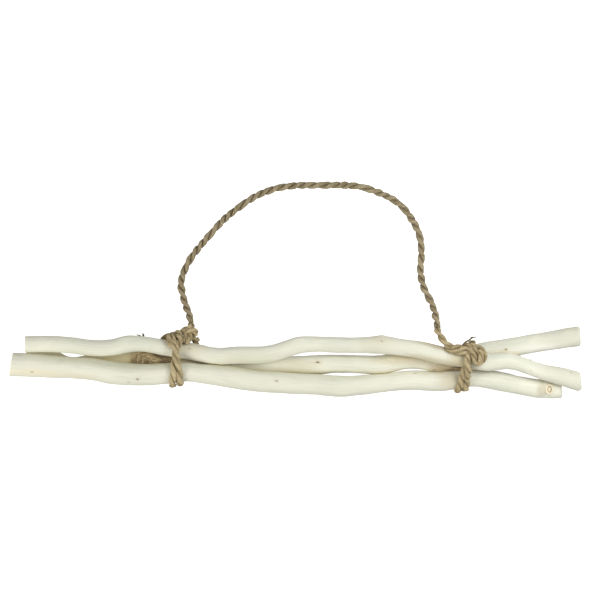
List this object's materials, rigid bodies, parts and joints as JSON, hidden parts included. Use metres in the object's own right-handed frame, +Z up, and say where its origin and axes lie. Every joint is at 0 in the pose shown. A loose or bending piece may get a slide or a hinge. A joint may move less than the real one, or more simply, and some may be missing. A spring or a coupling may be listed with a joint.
{
  "type": "bundle of peeled branches",
  "caption": "Bundle of wavy, peeled and bleached branches, lashed in two places with jute rope whose middle forms a loose carrying loop.",
  "frame": {"origin": "on the ground, under the middle of the branches and lashings", "axes": "+X along the branches towards their splayed thin ends, +Y towards the carrying loop, +Z up"},
  "size_m": [0.6016, 0.2278, 0.0558],
  "materials": {
    "peeled_wood": "peeled, bleached and dry, matt cream white with faint grain and small dark knots",
    "jute_rope": "laid two-strand jute, khaki brown, dry and hairy"
  },
  "bodies": {
    "root": {"front_branch": "peeled_wood", "back_branch": "peeled_wood", "lower_branch": "peeled_wood", "left_lashing": "jute_rope", "right_lashing": "jute_rope", "carrying_loop": "jute_rope"}
  },
  "joints": []
}
